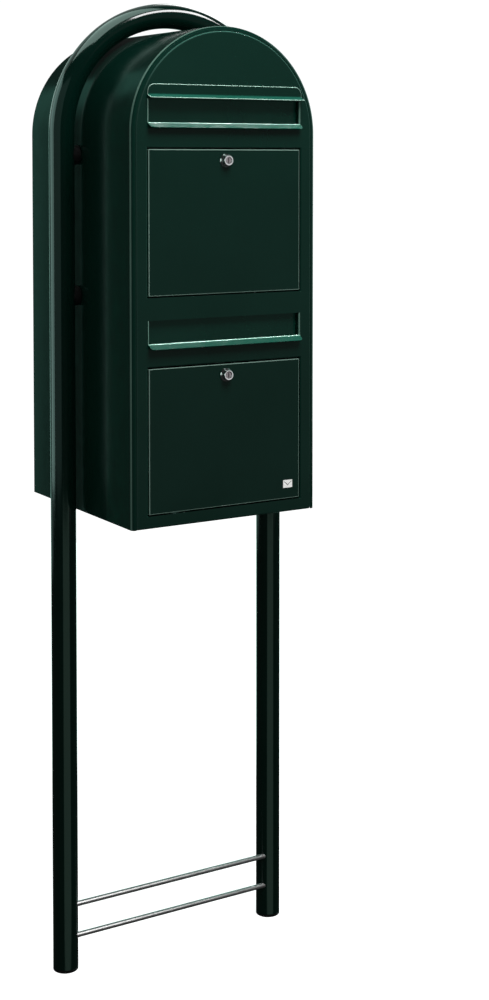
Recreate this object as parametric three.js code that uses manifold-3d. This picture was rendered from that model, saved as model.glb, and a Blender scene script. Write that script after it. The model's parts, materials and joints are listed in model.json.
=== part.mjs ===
// Two-compartment parcel drop box with an arched top, hung inside an arched round-tube stand.
// Millimetres, +Z up, front facing -Y. The origin lies at ground level, midway between the legs.

import * as THREE from 'three';
import { mergeVertices } from 'three/addons/utils/BufferGeometryUtils.js';
import Module from 'manifold-3d';

const wasm = await Module();
wasm.setup();

// Box
const BOX_WIDTH = 310;
const BOX_HEIGHT = 720;
const BOX_DEPTH = 335;
const BOX_BOTTOM = 698;
const FACE_Y = -172;
const BACK_Y = FACE_Y + BOX_DEPTH;
const HALF_WIDTH = BOX_WIDTH / 2;
const ARCH_Z = BOX_BOTTOM + BOX_HEIGHT - HALF_WIDTH;
const SHEET = 1.5;
const FIT = 0.3;
const RIM_RADIUS = 6;
const RIM_WIDTH = 7;
const FLANGE = 12;
const ARC_STEPS = 16;

// Doors, hinged along their lower edge
const DOOR_WIDTH = 255;
const DOOR_HEIGHT = 209;
const DOOR_DEPTH = 15;
const DOOR_GAP = 2;
const JAMB_DEPTH = 16;
const UPPER_DOOR_Z = BOX_BOTTOM + 332.5;
const LOWER_DOOR_Z = BOX_BOTTOM + 20;
const HINGE_INSET = 10;
const PIN_RADIUS = 2.5;
const PIN_HEAD_RADIUS = 3.9;
const PIN_HEAD_THICKNESS = 1.6;
const PIN_COLLAR_RADIUS = 4.2;
const PIN_COLLAR_THICKNESS = 2;

// Letter slots and their flaps, hinged along their upper edge
const SLOT_WIDTH = 254;
const SLOT_HEIGHT = 33.5;
const UPPER_SLOT_Z = BOX_BOTTOM + 579.5;
const LOWER_SLOT_Z = BOX_BOTTOM + 264.5;
const SLOT_JAMB = 18;
const LIP_REACH = 14;
const LIP_SLOPE = 35 * Math.PI / 180;
const LIP_CORNER = 5;
const FLAP_Y = FACE_Y + 8.5;
const FLAP_PIVOT_Y = FACE_Y + 11.5;
const FLAP_PIVOT_RISE = 7;
const FLAP_OVERLAP = 4;
const KNUCKLE_RADIUS = 4;
const FLAP_SIDE_GAP = 0.8;
const FLAP_ROD_RADIUS = 2;
const FLAP_ROD_HEAD_RADIUS = 3.2;
const FLAP_ROD_HEAD_THICKNESS = 1.6;
const VISOR_WIDTH = 259;
const VISOR_RISE = 8;
const VISOR_HEIGHT = 13;
const VISOR_CORNER = 11;

// Cam locks
const LOCK_DROP = 16;
const ROSETTE_RADIUS = 10;
const LOCK_NOSE = 8.5;
const NOSE_RADIUS = 7.8;
const BARREL_RADIUS = 8;
const BARREL_LENGTH = 18;
const PLUG_RADIUS = 5.5;
const CAM_LENGTH = 26;
const CAM_WIDTH = 12;
const CAM_THICKNESS = 2;
const CAM_CORNER = 2;
const CAM_BORE_RADIUS = 3.8;
const PLUG_TAIL_RADIUS = 3.5;
const NUT_RADIUS = 12.4;
const NUT_THICKNESS = 4;

// Stand
const TUBE_RADIUS = 19;
const TUBE_WALL = 2;
const STAND_WIDTH = 400;
const LEG_X = STAND_WIDTH / 2 - TUBE_RADIUS;
const CAP_HEIGHT = 4;
const SPACER_RADIUS = 15;
const SPACER_HEIGHTS = { upper: 1232, lower: 1022 };
const BOLT_RADIUS = 4;
const BOLT_HEAD_RADIUS = 7.2;
const BOLT_HEAD_HEIGHT = 5;
const WASHER_RADIUS = 8;
const WASHER_THICKNESS = 1.6;
const INSERT_RADIUS = 5.5;
const ROD_RADIUS = 4;
const ROD_Y = -10;
const ROD_END = 172;
const ROD_HEIGHTS = { upper: 100, lower: 52 };

// Back wall holes, inner shelf and sign
const WALL_HOLE_X = 100;
const WALL_HOLE_HEIGHTS = [768, 1328];
const WALL_HOLE_RADIUS = 4;
const SHELF_Z = 1017;
const SHELF_FRONT = FACE_Y + 22;
const SHELF_FLANGE = 8;
const SHELF_NOTCH_DEPTH = 12;
const SIGN_X = 107;
const SIGN_Z = LOWER_DOOR_Z + 22;

const greenPaint = new THREE.MeshStandardMaterial({ color: 0x142b26, roughness: 0.38, metalness: 0.0 });
const doorPaint = new THREE.MeshStandardMaterial({ color: 0x152c27, roughness: 0.38, metalness: 0.0 });
const tubePaint = new THREE.MeshStandardMaterial({ color: 0x0b241c, roughness: 0.3, metalness: 0.0 });
const steel = new THREE.MeshStandardMaterial({ color: 0xb8b8b8, roughness: 0.35, metalness: 1.0 });
const chrome = new THREE.MeshStandardMaterial({ color: 0xc9c9cb, roughness: 0.18, metalness: 1.0 });
const plastic = new THREE.MeshStandardMaterial({ color: 0x0c0d0d, roughness: 0.55, metalness: 0.0 });
const whiteFoil = new THREE.MeshStandardMaterial({ color: 0xf2f2f0, roughness: 0.5, metalness: 0.0 });

// A closed manifold solid from a three.js geometry, for joining and cutting.
function solid(geometry) {
  const bare = geometry.index ? geometry.toNonIndexed() : geometry.clone();
  bare.deleteAttribute('normal');
  bare.deleteAttribute('uv');
  const merged = mergeVertices(bare, 1e-4);
  const corners = merged.index.array;
  const kept = [];
  for (let i = 0; i < corners.length; i += 3) {
    const [a, b, c] = corners.slice(i, i + 3);
    if (a !== b && b !== c && c !== a) kept.push(a, b, c);
  }
  const vertProperties = new Float32Array(merged.attributes.position.array);
  return new wasm.Manifold(new wasm.Mesh({ numProp: 3, vertProperties, triVerts: new Uint32Array(kept) }));
}

// The three.js geometry of a manifold solid.
function geometryOf(manifold) {
  const mesh = manifold.getMesh();
  const geometry = new THREE.BufferGeometry();
  geometry.setAttribute('position', new THREE.BufferAttribute(new Float32Array(mesh.vertProperties), 3));
  geometry.setIndex(new THREE.BufferAttribute(new Uint32Array(mesh.triVerts), 1));
  geometry.computeVertexNormals();
  return geometry;
}

// One body joined from several solids.
function join(...solids) {
  return solids.reduce((whole, next) => whole.add(next));
}

// A body with several solids cut away.
function cut(body, ...tools) {
  return tools.reduce((rest, tool) => rest.subtract(tool), body);
}

function block(x, y, z) {
  const box = new THREE.BoxGeometry(x[1] - x[0], y[1] - y[0], z[1] - z[0]);
  return solid(box.translate((x[0] + x[1]) / 2, (y[0] + y[1]) / 2, (z[0] + z[1]) / 2));
}

// An outline in X and Z, extruded from y[0] to y[1].
function slab(outline, y, curveSegments = ARC_STEPS) {
  const options = { depth: y[1] - y[0], bevelEnabled: false, curveSegments };
  return solid(new THREE.ExtrudeGeometry(outline, options).rotateX(Math.PI / 2).translate(0, y[1], 0));
}

// A round bar along X, from x[0] to x[1].
function barX(radius, x, y, z, segments = 20) {
  const bar = new THREE.CylinderGeometry(radius, radius, x[1] - x[0], segments).rotateZ(Math.PI / 2);
  return solid(bar.translate((x[0] + x[1]) / 2, y, z));
}

// A round bar along Y, from y[0] to y[1].
function barY(radius, x, y, z, segments = 24) {
  const bar = new THREE.CylinderGeometry(radius, radius, y[1] - y[0], segments);
  return solid(bar.translate(x, (y[0] + y[1]) / 2, z));
}

// A turned piece: the profile lists [radius, height] from bottom to top, and its axis is Y.
function turned(profile, segments = 20) {
  return new THREE.LatheGeometry(profile.map(([r, h]) => new THREE.Vector2(r, h)), segments);
}

// The box's front outline, drawn in by inset at the sides and the arch, down to bottom.
function archOutline(inset, bottom) {
  const radius = HALF_WIDTH - inset;
  const outline = new THREE.Shape();
  outline.moveTo(-radius, bottom);
  outline.lineTo(radius, bottom);
  outline.lineTo(radius, ARCH_Z);
  outline.absarc(0, ARCH_Z, radius, 0, Math.PI, false);
  outline.closePath();
  return outline;
}

function rectangle(halfWidth, low, high) {
  const outline = new THREE.Shape();
  outline.moveTo(-halfWidth, low);
  outline.lineTo(halfWidth, low);
  outline.lineTo(halfWidth, high);
  outline.lineTo(-halfWidth, high);
  outline.closePath();
  return outline;
}

// The arch as a solid whose front edge is rounded, thinned by skin on every face.
function roundedArch(skin) {
  const round = RIM_RADIUS - skin;
  const options = {
    depth: BOX_DEPTH, bevelEnabled: true, bevelThickness: round, bevelSize: round,
    bevelSegments: 4, curveSegments: ARC_STEPS,
  };
  const arch = new THREE.ExtrudeGeometry(archOutline(RIM_RADIUS, BOX_BOTTOM - 2 * RIM_RADIUS), options);
  return solid(arch.rotateX(Math.PI / 2).translate(0, FACE_Y + RIM_RADIUS + BOX_DEPTH, 0));
}

// Side and arch sheet in one length, its front edge rolled inwards to a narrow rim.
function bodyWrap() {
  const rim = archOutline(RIM_WIDTH, BOX_BOTTOM - 2 * RIM_RADIUS);
  const opening = slab(rim, [FACE_Y - 1, FACE_Y + 2 * SHEET]);
  const reach = HALF_WIDTH + 1;
  const boltHoles = Object.values(SPACER_HEIGHTS).map(
    (z) => barX(BOLT_RADIUS + FIT, [-reach, reach], 0, z));
  const shell = cut(roundedArch(0), roundedArch(SHEET), opening, ...boltHoles);
  return shell.intersect(block([-reach, reach], [FACE_Y - 1, BACK_Y], [BOX_BOTTOM, ARCH_Z + reach]));
}

// A tray folded from one sheet: a face plus a flange all round it.
function tray(inset, bottom, y, faceAtFront) {
  const outer = slab(archOutline(inset, bottom), y);
  const hollow = faceAtFront ? [y[0] + SHEET, y[1] + 1] : [y[0] - 1, y[1] - SHEET];
  return cut(outer, slab(archOutline(inset + SHEET, bottom + SHEET), hollow));
}

function backPanel() {
  const holes = [];
  for (const x of [-WALL_HOLE_X, WALL_HOLE_X]) {
    for (const z of WALL_HOLE_HEIGHTS) {
      holes.push(barY(WALL_HOLE_RADIUS, x, [BACK_Y - 2 * SHEET, BACK_Y + 1], z, 16));
    }
  }
  return cut(tray(SHEET + FIT, BOX_BOTTOM + SHEET + FIT, [BACK_Y - FLANGE, BACK_Y], false), ...holes);
}

// Floor of the lower compartment, with a flange turned up along each side.
function bottomPlate() {
  const half = HALF_WIDTH - SHEET - FIT;
  const front = FACE_Y + FLANGE + FIT;
  const floor = block([-half, half], [front, BACK_Y], [BOX_BOTTOM, BOX_BOTTOM + SHEET]);
  const flangeY = [front, BACK_Y - FLANGE - 2];
  const flangeZ = [BOX_BOTTOM, BOX_BOTTOM + FLANGE];
  return join(
    floor,
    block([-half, -half + SHEET], flangeY, flangeZ),
    block([half - SHEET, half], flangeY, flangeZ),
  );
}

// A lip along X that leaves the sheet at y, z and slopes outwards and down, with rounded tips.
function lip(halfWidth, y, z) {
  const outline = new THREE.Shape();
  const cornerX = halfWidth - LIP_CORNER;
  const cornerY = LIP_CORNER - LIP_REACH;
  outline.moveTo(-halfWidth, SHEET);
  outline.lineTo(-halfWidth, cornerY);
  outline.absarc(-cornerX, cornerY, LIP_CORNER, Math.PI, 1.5 * Math.PI, false);
  outline.lineTo(cornerX, -LIP_REACH);
  outline.absarc(cornerX, cornerY, LIP_CORNER, 1.5 * Math.PI, 2 * Math.PI, false);
  outline.lineTo(halfWidth, SHEET);
  outline.closePath();
  const sheet = new THREE.ExtrudeGeometry(outline, { depth: SHEET, bevelEnabled: false, curveSegments: 4 });
  return solid(sheet.translate(0, 0, -SHEET).rotateX(LIP_SLOPE).translate(0, y, z));
}

// Side jambs of a letter slot, long enough to carry the flap's rod.
function slotJambs(bottom) {
  const half = SLOT_WIDTH / 2;
  const y = [FACE_Y, FACE_Y + SLOT_JAMB];
  const z = [bottom - SHEET, bottom + SLOT_HEIGHT + 2 * FLAP_PIVOT_RISE];
  return join(block([-half - SHEET, -half], y, z), block([half, half + SHEET], y, z));
}

// Side jambs of a door opening, which carry its hinge pins, and the keeper that the cam locks behind.
function doorFrame(bottom) {
  const half = DOOR_WIDTH / 2 + DOOR_GAP;
  const y = [FACE_Y, FACE_Y + JAMB_DEPTH];
  const top = bottom + DOOR_HEIGHT + DOOR_GAP;
  return join(
    block([-half - SHEET, -half], y, [bottom - DOOR_GAP, top + SHEET]),
    block([half, half + SHEET], y, [bottom - DOOR_GAP, top + SHEET]),
    block([-half - SHEET, half + SHEET], y, [top, top + SHEET]),
  );
}

function frontPanel() {
  const through = [FACE_Y - 1, FACE_Y + 2 * SHEET];
  const face = tray(RIM_WIDTH + FIT, BOX_BOTTOM, [FACE_Y, FACE_Y + FLANGE], true);
  const doorHalf = DOOR_WIDTH / 2 + DOOR_GAP;
  const doorSpan = DOOR_HEIGHT + 2 * DOOR_GAP;
  const doors = [UPPER_DOOR_Z, LOWER_DOOR_Z];
  const slots = [UPPER_SLOT_Z, LOWER_SLOT_Z];
  const openings = [
    ...doors.map((z) => slab(rectangle(doorHalf, z - DOOR_GAP, z - DOOR_GAP + doorSpan), through)),
    ...slots.map((z) => slab(rectangle(SLOT_WIDTH / 2, z, z + SLOT_HEIGHT), through)),
  ];
  const folds = [...doors.map(doorFrame), ...slots.map(slotJambs)];
  const lips = slots.map((z) => lip(SLOT_WIDTH / 2 + SHEET, FACE_Y + SHEET, z));
  const bore = [-HALF_WIDTH + 15, HALF_WIDTH - 15];
  const hingeHoles = doors.map(
    (z) => barX(PIN_RADIUS + FIT, bore, FACE_Y + HINGE_INSET, z + HINGE_INSET, 16));
  const rodHoles = slots.map(
    (z) => barX(FLAP_ROD_RADIUS + FIT, bore, FLAP_PIVOT_Y, z + SLOT_HEIGHT + FLAP_PIVOT_RISE, 16));
  return cut(join(cut(face, ...openings), ...folds, ...lips), ...hingeHoles, ...rodHoles);
}

// Strip above the upper slot whose lower edge is folded out over it.
function rainVisor() {
  const half = VISOR_WIDTH / 2;
  const low = UPPER_SLOT_Z + SLOT_HEIGHT + VISOR_RISE;
  const high = low + VISOR_HEIGHT;
  const corner = VISOR_CORNER;
  const outline = new THREE.Shape();
  outline.moveTo(-half, low);
  outline.lineTo(half, low);
  outline.lineTo(half, high - corner);
  outline.absarc(half - corner, high - corner, corner, 0, Math.PI / 2, false);
  outline.lineTo(corner - half, high);
  outline.absarc(corner - half, high - corner, corner, Math.PI / 2, Math.PI, false);
  outline.closePath();
  const strip = slab(outline, [FACE_Y - FIT - SHEET, FACE_Y - FIT], 4);
  const fold = lip(half, FACE_Y - FIT - SHEET / 2, low + SHEET);
  const room = block([-half - 1, half + 1], [FACE_Y - FIT, FACE_Y + FLANGE], [low - FLANGE, high]);
  return cut(join(strip, fold), room);
}

// Floor of the upper compartment, notched round the stand bolts.
function dividerShelf() {
  const half = HALF_WIDTH - SHEET - FIT;
  const back = BACK_Y - FLANGE - FIT;
  const low = SHELF_Z - SHELF_FLANGE;
  const shelf = cut(
    block([-half, half], [SHELF_FRONT, back], [low, SHELF_Z + SHEET]),
    block([SHEET - half, half - SHEET], [SHELF_FRONT + SHEET, back + 1], [low - 1, SHELF_Z]),
  );
  const notches = [-half, half].map((x) => block(
    [x - SHELF_NOTCH_DEPTH, x + SHELF_NOTCH_DEPTH], [-SPACER_RADIUS, SPACER_RADIUS], [low - 1, SHELF_Z + 3]));
  return cut(shelf, ...notches);
}

// A door: a shallow tray with a flange on all four sides, drilled for its lock and hinge pins.
function door(bottom) {
  const half = DOOR_WIDTH / 2;
  const top = bottom + DOOR_HEIGHT;
  const outer = block([-half, half], [FACE_Y, FACE_Y + DOOR_DEPTH], [bottom, top]);
  const hollow = block([SHEET - half, half - SHEET], [FACE_Y + SHEET, FACE_Y + DOOR_DEPTH + 1],
    [bottom + SHEET, top - SHEET]);
  const lockHole = barY(BARREL_RADIUS + FIT, 0, [FACE_Y - 1, FACE_Y + 2 * SHEET], top - LOCK_DROP);
  const pinHoles = barX(
    PIN_RADIUS + FIT, [-half - 1, half + 1], FACE_Y + HINGE_INSET, bottom + HINGE_INSET, 16);
  return cut(outer, hollow, lockHole, pinHoles);
}

// Rivet-like hinge pin. Its axis is local Y, pointing out of the door; the origin is the door's edge.
function hingePin() {
  const head = -SHEET - FIT;
  const headEnd = head - PIN_HEAD_THICKNESS;
  const collar = DOOR_GAP + SHEET + FIT;
  const collarEnd = collar + PIN_COLLAR_THICKNESS;
  return turned([
    [0, headEnd], [PIN_HEAD_RADIUS - 0.3, headEnd], [PIN_HEAD_RADIUS, headEnd + 0.4], [PIN_HEAD_RADIUS, head],
    [PIN_RADIUS, head], [PIN_RADIUS, collar],
    [PIN_COLLAR_RADIUS, collar], [PIN_COLLAR_RADIUS, collarEnd - 0.7], [PIN_COLLAR_RADIUS - 0.6, collarEnd],
    [0, collarEnd],
  ], 12);
}

// Slot flap: a plate with its upper edge rolled round the rod.
function flap(slotBottom) {
  const half = SLOT_WIDTH / 2 - FLAP_SIDE_GAP;
  const pivotZ = slotBottom + SLOT_HEIGHT + FLAP_PIVOT_RISE;
  const plate = block([-half, half], [FLAP_Y, FLAP_Y + SHEET], [slotBottom - FLAP_OVERLAP, pivotZ]);
  const knuckle = barX(KNUCKLE_RADIUS, [-half, half], FLAP_PIVOT_Y, pivotZ);
  const bore = barX(FLAP_ROD_RADIUS + FIT, [-half - 1, half + 1], FLAP_PIVOT_Y, pivotZ, 16);
  return cut(join(plate, knuckle), bore);
}

// Rod that a flap turns on, headed outside both jambs. Its axis is local Y.
function flapRod() {
  const shoulder = SLOT_WIDTH / 2 + SHEET + FIT;
  const end = shoulder + FLAP_ROD_HEAD_THICKNESS;
  return turned([
    [0, -end], [FLAP_ROD_HEAD_RADIUS, -end], [FLAP_ROD_HEAD_RADIUS, -shoulder], [FLAP_ROD_RADIUS, -shoulder],
    [FLAP_ROD_RADIUS, shoulder], [FLAP_ROD_HEAD_RADIUS, shoulder], [FLAP_ROD_HEAD_RADIUS, end], [0, end],
  ], 12);
}

// Lock pieces share an axis along local Y, with the door's outer face at 0 and the nose at minus Y.
function lockBarrel() {
  const bore = PLUG_RADIUS + FIT;
  const seat = -FIT;
  return turned([
    [bore, -LOCK_NOSE], [NOSE_RADIUS - 0.8, -LOCK_NOSE], [NOSE_RADIUS, 0.8 - LOCK_NOSE],
    [NOSE_RADIUS + 0.3, -2.6], [ROSETTE_RADIUS - 0.6, -2], [ROSETTE_RADIUS, -1.4], [ROSETTE_RADIUS, seat],
    [BARREL_RADIUS, seat], [BARREL_RADIUS, BARREL_LENGTH], [bore, BARREL_LENGTH], [bore, -LOCK_NOSE],
  ], 24);
}

function lockPlug() {
  const tail = BARREL_LENGTH + FIT;
  const shoulder = tail - 0.6;
  const end = tail + CAM_THICKNESS;
  const body = solid(turned([
    [0, -LOCK_NOSE - 0.4], [PLUG_RADIUS - 0.4, -LOCK_NOSE - 0.4], [PLUG_RADIUS, -LOCK_NOSE],
    [PLUG_RADIUS, shoulder], [PLUG_TAIL_RADIUS, shoulder], [PLUG_TAIL_RADIUS, end], [0, end],
  ], 24));
  const keyway = block([-0.8, 0.8], [-LOCK_NOSE - 1, 5 - LOCK_NOSE], [-3.8, 3.8]);
  const screwHole = barY(2.3, 0, [BARREL_LENGTH - 8, BARREL_LENGTH + 8], 0, 16);
  return cut(body, keyway, screwHole);
}

function lockNut() {
  const hexagon = new THREE.CylinderGeometry(NUT_RADIUS, NUT_RADIUS, NUT_THICKNESS, 6);
  const nut = solid(hexagon.translate(0, SHEET + FIT + NUT_THICKNESS / 2, 0));
  return cut(nut, barY(BARREL_RADIUS + FIT, 0, [0, 10], 0));
}

// Locking cam. It lies along +X when the door is free and turns up to +Z to lock it.
function lockCam() {
  const half = CAM_WIDTH / 2;
  const outline = new THREE.Shape();
  outline.moveTo(CAM_LENGTH - CAM_CORNER, -half);
  outline.lineTo(CAM_LENGTH, CAM_CORNER - half);
  outline.lineTo(CAM_LENGTH, half - CAM_CORNER);
  outline.lineTo(CAM_LENGTH - CAM_CORNER, half);
  outline.lineTo(0, half);
  outline.absarc(0, 0, half, Math.PI / 2, 1.5 * Math.PI, false);
  outline.closePath();
  const near = BARREL_LENGTH + FIT;
  const plate = slab(outline, [near, near + CAM_THICKNESS], 6);
  return cut(plate, barY(CAM_BORE_RADIUS, 0, [near - 1, near + CAM_THICKNESS + 1], 0, 24));
}

function camScrew() {
  const seat = BARREL_LENGTH + 2 * FIT + CAM_THICKNESS;
  return turned([
    [0, seat - 9], [2, seat - 9], [2, seat], [5, seat], [5, seat + 1.6], [4, seat + 2.4], [0, seat + 2.4],
  ], 12);
}

// The middle line of the stand: up the left leg, over the arch and down the right leg.
class StandPath extends THREE.Curve {
  constructor(foot, archSteps) {
    super();
    this.foot = foot;
    this.archSteps = archSteps;
  }

  getPoint(t) {
    const station = t * (this.archSteps + 2);
    if (station <= 1) return new THREE.Vector3(-LEG_X, 0, this.foot + (ARCH_Z - this.foot) * station);
    const rest = this.archSteps + 2 - station;
    if (rest <= 1) return new THREE.Vector3(LEG_X, 0, this.foot + (ARCH_Z - this.foot) * rest);
    const angle = Math.PI * (1 - (station - 1) / this.archSteps);
    return new THREE.Vector3(LEG_X * Math.cos(angle), 0, ARCH_Z + LEG_X * Math.sin(angle));
  }

  getTangent(t) {
    const station = THREE.MathUtils.clamp(t * (this.archSteps + 2) - 1, 0, this.archSteps);
    const angle = Math.PI * (1 - station / this.archSteps);
    return new THREE.Vector3(Math.sin(angle), 0, -Math.cos(angle));
  }

  getPointAt(u) {
    return this.getPoint(u);
  }

  getTangentAt(u) {
    return this.getTangent(u);
  }
}

// Bent steel tube, drilled for the box's threaded inserts and for the ground rods.
function standTube() {
  const archSteps = 20;
  const section = new THREE.Shape().absarc(0, 0, TUBE_RADIUS, 0, 2 * Math.PI, false);
  section.holes.push(new THREE.Path().absarc(0, 0, TUBE_RADIUS - TUBE_WALL, 0, 2 * Math.PI, true));
  const tube = solid(new THREE.ExtrudeGeometry(section, {
    steps: archSteps + 2, curveSegments: 12, extrudePath: new StandPath(CAP_HEIGHT + FIT, archSteps),
  }));
  const inserts = Object.values(SPACER_HEIGHTS).map(
    (z) => barX(INSERT_RADIUS + FIT, [-LEG_X, LEG_X], 0, z, 16));
  const rods = Object.values(ROD_HEIGHTS).map(
    (z) => barX(ROD_RADIUS + FIT, [-ROD_END, ROD_END], ROD_Y, z, 16));
  return cut(tube, ...inserts, ...rods);
}

// Plastic cap that closes a leg: a rounded disc with a plug standing up inside the tube.
function endCap() {
  const plug = TUBE_RADIUS - TUBE_WALL - FIT;
  return turned([
    [0, 0], [TUBE_RADIUS - 1.5, 0], [TUBE_RADIUS - 0.4, 0.4], [TUBE_RADIUS, 1.5], [TUBE_RADIUS, CAP_HEIGHT],
    [plug, CAP_HEIGHT], [plug, CAP_HEIGHT + 14], [plug - 2, CAP_HEIGHT + 16], [0, CAP_HEIGHT + 16],
  ], 24);
}

function groundRod() {
  return turned([
    [0, -ROD_END], [ROD_RADIUS, -ROD_END], [ROD_RADIUS, ROD_END], [0, ROD_END],
  ], 12);
}

// Pieces of one fixing share an axis along local +X, with the box's outer side at 0.
function spacer() {
  const round = barX(SPACER_RADIUS, [FIT, SPACER_RADIUS], 0, 0, 32);
  const tube = new THREE.CylinderGeometry(TUBE_RADIUS + FIT, TUBE_RADIUS + FIT, 4 * SPACER_RADIUS, 48);
  const saddle = solid(tube.rotateX(Math.PI / 2).translate(LEG_X - HALF_WIDTH, 0, 0));
  return cut(round, saddle, barX(BOLT_RADIUS + FIT, [-1, SPACER_RADIUS + 1], 0, 0, 16));
}

function washer() {
  const face = -SHEET - FIT;
  const disc = barX(WASHER_RADIUS, [face - WASHER_THICKNESS, face], 0, 0, 24);
  return cut(disc, barX(BOLT_RADIUS + FIT, [face - 3, face + 1], 0, 0, 16));
}

function bolt() {
  const seat = -SHEET - 2 * FIT - WASHER_THICKNESS;
  const hexagon = new THREE.CylinderGeometry(BOLT_HEAD_RADIUS, BOLT_HEAD_RADIUS, BOLT_HEAD_HEIGHT, 6);
  const head = solid(hexagon.rotateZ(Math.PI / 2).translate(seat - BOLT_HEAD_HEIGHT / 2, 0, 0));
  return join(head, barX(BOLT_RADIUS, [seat - 1, LEG_X - HALF_WIDTH - 3], 0, 0, 16));
}

// Threaded insert in the tube's inner wall, its collar behind the wall.
function threadedInsert() {
  const wall = LEG_X - HALF_WIDTH - TUBE_RADIUS;
  const body = barX(INSERT_RADIUS, [wall + 1, wall + 14], 0, 0, 16);
  const collar = barX(INSERT_RADIUS + 2, [wall + 4.6, wall + 9], 0, 0, 16);
  return cut(join(body, collar), barX(BOLT_RADIUS + FIT, [wall - 1, wall + 15], 0, 0, 16));
}

// A plain envelope sign: a thin plate with the flap's fold cut through as a V.
function envelopeBadge() {
  const halfWidth = 8;
  const halfHeight = 5.8;
  const fold = new THREE.Shape();
  fold.moveTo(-6.6, 4.4);
  fold.lineTo(0, -1.2);
  fold.lineTo(6.6, 4.4);
  fold.lineTo(6.6, 3.2);
  fold.lineTo(0, -2.5);
  fold.lineTo(-6.6, 3.2);
  fold.closePath();
  return cut(slab(rectangle(halfWidth, -halfHeight, halfHeight), [-0.5, -0.1]), slab(fold, [-1, 1]));
}

const group = new THREE.Group();

function add(name, shape, material, parent = group) {
  const mesh = new THREE.Mesh(shape.isBufferGeometry ? shape : geometryOf(shape), material);
  mesh.name = name;
  parent.add(mesh);
  return mesh;
}

function place(x, y, z) {
  const holder = new THREE.Group();
  holder.position.set(x, y, z);
  group.add(holder);
  return holder;
}

add('body_wrap', bodyWrap(), greenPaint);
add('back_panel', backPanel(), greenPaint);
add('bottom_plate', bottomPlate(), greenPaint);
add('front_panel', frontPanel(), greenPaint);
add('rain_visor', rainVisor(), greenPaint);
add('divider_shelf', dividerShelf(), greenPaint);

const LEVELS = {
  upper: { doorZ: UPPER_DOOR_Z, slotZ: UPPER_SLOT_Z },
  lower: { doorZ: LOWER_DOOR_Z, slotZ: LOWER_SLOT_Z },
};
const SIDES = { left: -1, right: 1 };

for (const [level, { doorZ, slotZ }] of Object.entries(LEVELS)) {
  add(`${level}_door`, door(doorZ), doorPaint);
  add(`${level}_flap`, flap(slotZ), greenPaint);
  const rod = place(0, FLAP_PIVOT_Y, slotZ + SLOT_HEIGHT + FLAP_PIVOT_RISE);
  rod.rotation.z = Math.PI / 2;
  add(`${level}_flap_rod`, flapRod(), steel, rod);

  const lock = place(0, FACE_Y, doorZ + DOOR_HEIGHT - LOCK_DROP);
  add(`${level}_lock_barrel`, lockBarrel(), chrome, lock);
  add(`${level}_lock_plug`, lockPlug(), chrome, lock);
  add(`${level}_lock_nut`, lockNut(), steel, lock);
  add(`${level}_lock_cam`, lockCam(), steel, lock);
  add(`${level}_cam_screw`, camScrew(), steel, lock);

  for (const [side, sign] of Object.entries(SIDES)) {
    const pin = place(sign * DOOR_WIDTH / 2, FACE_Y + HINGE_INSET, doorZ + HINGE_INSET);
    pin.rotation.z = -sign * Math.PI / 2;
    add(`${level}_${side}_hinge_pin`, hingePin(), steel, pin);

    const fixing = place(sign * HALF_WIDTH, 0, SPACER_HEIGHTS[level]);
    fixing.rotation.z = sign > 0 ? 0 : Math.PI;
    add(`${level}_${side}_spacer`, spacer(), plastic, fixing);
    add(`${level}_${side}_washer`, washer(), steel, fixing);
    add(`${level}_${side}_bolt`, bolt(), steel, fixing);
    add(`${level}_${side}_insert`, threadedInsert(), steel, fixing);
  }

  const groundRodHolder = place(0, ROD_Y, ROD_HEIGHTS[level]);
  groundRodHolder.rotation.z = Math.PI / 2;
  add(`${level}_ground_rod`, groundRod(), steel, groundRodHolder);
}

add('envelope_badge', envelopeBadge(), whiteFoil, place(SIGN_X, FACE_Y, SIGN_Z));

add('stand_tube', standTube(), tubePaint);
for (const [side, sign] of Object.entries(SIDES)) {
  const foot = place(sign * LEG_X, 0, 0);
  foot.rotation.x = Math.PI / 2;
  add(`${side}_end_cap`, endCap(), plastic, foot);
}

export default group;
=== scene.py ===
# Parcel drop box on an arched stand: the finished look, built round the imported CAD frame.

import json
import math

import bmesh
import bpy
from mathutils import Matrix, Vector


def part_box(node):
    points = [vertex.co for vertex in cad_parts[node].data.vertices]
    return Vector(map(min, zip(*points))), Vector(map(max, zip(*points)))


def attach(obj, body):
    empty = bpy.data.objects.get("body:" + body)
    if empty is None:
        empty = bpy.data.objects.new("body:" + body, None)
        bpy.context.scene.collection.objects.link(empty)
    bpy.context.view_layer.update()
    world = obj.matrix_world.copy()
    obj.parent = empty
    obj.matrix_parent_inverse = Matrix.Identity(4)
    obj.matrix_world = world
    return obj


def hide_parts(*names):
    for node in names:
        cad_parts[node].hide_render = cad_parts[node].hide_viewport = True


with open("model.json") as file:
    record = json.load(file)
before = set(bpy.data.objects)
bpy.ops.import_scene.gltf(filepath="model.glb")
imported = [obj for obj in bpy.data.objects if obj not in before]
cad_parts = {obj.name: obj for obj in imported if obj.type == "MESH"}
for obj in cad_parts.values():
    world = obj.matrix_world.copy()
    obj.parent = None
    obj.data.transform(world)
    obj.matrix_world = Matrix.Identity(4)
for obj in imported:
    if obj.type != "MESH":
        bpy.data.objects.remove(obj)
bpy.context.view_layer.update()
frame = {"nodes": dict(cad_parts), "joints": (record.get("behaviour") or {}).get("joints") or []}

MM = 0.001
ACROSS = Vector((1, 0, 0))
INWARDS = Vector((0, 1, 0))
UP = Vector((0, 0, 1))
ARC_STEPS = 96

# Sheet metal. Sheets are rounded where they fold by more than FOLD_ANGLE.
SHEET = 1.5 * MM
FOLD = 1.9 * MM
FOLD_ANGLE = math.radians(25)
RAW_EDGE = 0.3 * MM
FIT = 0.3 * MM
WELD = 0.02 * MM
LEVEL_TOLERANCE = 1e-9
FLANGE = 12 * MM

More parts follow.
